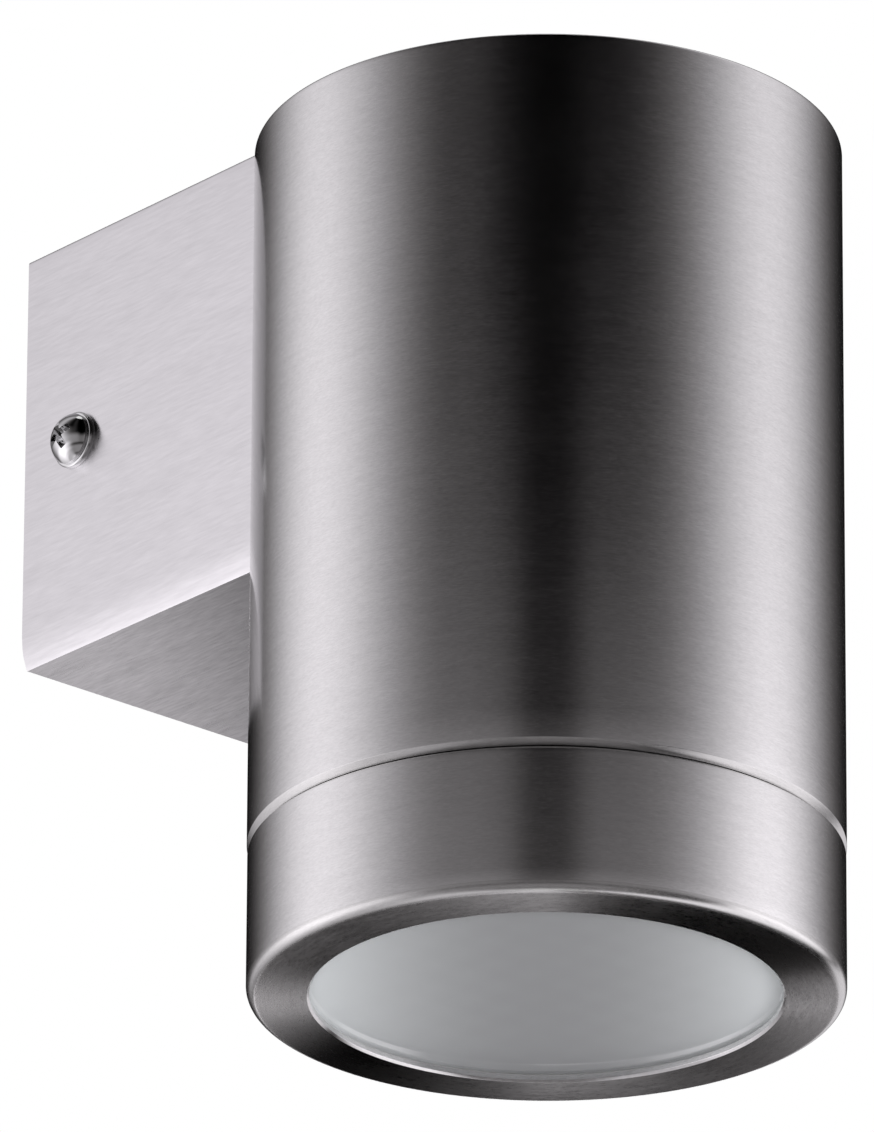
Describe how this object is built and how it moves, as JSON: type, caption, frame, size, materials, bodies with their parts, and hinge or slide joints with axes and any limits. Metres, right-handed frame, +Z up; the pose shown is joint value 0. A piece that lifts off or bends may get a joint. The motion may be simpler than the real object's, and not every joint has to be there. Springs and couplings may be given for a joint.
{
  "type": "tube wall light",
  "caption": "Stainless steel down light for a wall: an upright tube on a square arm, with a screw-on glass ring.",
  "frame": {"origin": "on the wall, at the centre of the arm's wall end", "axes": "+Z up along the tube, +Y into the wall, +X to the right for someone who faces the wall"},
  "size_m": [0.076, 0.1085, 0.1165],
  "materials": {
    "brushed_steel": "stainless steel, fine brushing",
    "turned_steel": "stainless steel, turned",
    "polished_steel": "stainless steel, bright",
    "plated_steel": "zinc plated steel",
    "satin_glass": "satin on the inside, clear outside",
    "white_rubber": "silicone seal",
    "black_rubber": "moulded rubber",
    "white_plastic": "moulded plastic",
    "clear_plastic": "clear moulded cover",
    "brass": "turned brass",
    "ceramic": "fired ceramic, slightly rough",
    "pin_steel": "nickel plated",
    "brown_wire": "insulated lead, brown",
    "blue_wire": "insulated lead, blue",
    "earth_wire": "insulated lead, green and yellow"
  },
  "bodies": {
    "body": {"tube": "brushed_steel", "top_cap": "brushed_steel", "arm_box": "brushed_steel", "thread_sleeve": "turned_steel", "o_ring": "black_rubber", "wall_bracket": "plated_steel", "clinch_nuts": "plated_steel", "wall_pad": "black_rubber", "entry_grommet": "black_rubber", "tube_grommet": "black_rubber", "terminal_block": "white_plastic", "terminal_inserts": "brass", "terminal_screws": "plated_steel", "terminal_fixings": "plated_steel", "live_wire": "brown_wire", "neutral_wire": "blue_wire", "earth_wire": "earth_wire", "earth_tag": "plated_steel", "earth_screw": "brass", "holder_strap": "plated_steel", "cap_studs": "plated_steel", "stud_nuts": "plated_steel", "lampholder": "ceramic", "holder_contacts": "brass", "holder_screws": "plated_steel", "holder_nuts": "plated_steel"},
    "glass_carrier": {"lens_glass": "satin_glass", "lens_gasket": "white_rubber", "seat_seal": "white_rubber"},
    "ring": {"bezel_ring": "brushed_steel"},
    "lamp": {"lamp_body": "white_plastic", "lamp_base": "ceramic", "lamp_pins": "pin_steel", "lamp_board": "white_plastic", "lamp_cover": "clear_plastic"},
    "left_washer_carrier": {"left_washer": "polished_steel"},
    "left_side_screw": {"left_screw": "polished_steel"},
    "right_washer_carrier": {"right_washer": "polished_steel"},
    "right_side_screw": {"right_screw": "polished_steel"}
  },
  "joints": [
    {"name": "glass_travel", "type": "slide", "parent": "body", "child": "glass_carrier", "axis": [0, 0, -1], "range_m": [0, 0.009]},
    {"name": "ring_turn", "type": "hinge", "parent": "glass_carrier", "child": "ring", "pos_m": [0, -0.0705, -0.0875], "axis": [0, 0, -1], "range_deg": [0, 2160]},
    {"name": "lamp_turn", "type": "hinge", "parent": "body", "child": "lamp", "pos_m": [0, -0.0705, -0.0287], "axis": [0, 0, -1], "range_deg": [0, 25]},
    {"name": "left_washer_travel", "type": "slide", "parent": "body", "child": "left_washer_carrier", "axis": [-1, 0, 0], "range_m": [0, 0.0042]},
    {"name": "left_screw_turn", "type": "hinge", "parent": "left_washer_carrier", "child": "left_side_screw", "pos_m": [-0.0298, -0.0105, 0], "axis": [-1, 0, 0], "range_deg": [0, 2160]},
    {"name": "right_washer_travel", "type": "slide", "parent": "body", "child": "right_washer_carrier", "axis": [1, 0, 0], "range_m": [0, 0.0042]},
    {"name": "right_screw_turn", "type": "hinge", "parent": "right_washer_carrier", "child": "right_side_screw", "pos_m": [0.0298, -0.0105, 0], "axis": [1, 0, 0], "range_deg": [0, 2160]}
  ],
  "couplings": [
    {"joint": "ring_turn", "follows": "glass_travel", "rad_per_m": 4188.8},
    {"joint": "left_screw_turn", "follows": "left_washer_travel", "rad_per_m": 8976},
    {"joint": "right_screw_turn", "follows": "right_washer_travel", "rad_per_m": 8976}
  ]
}
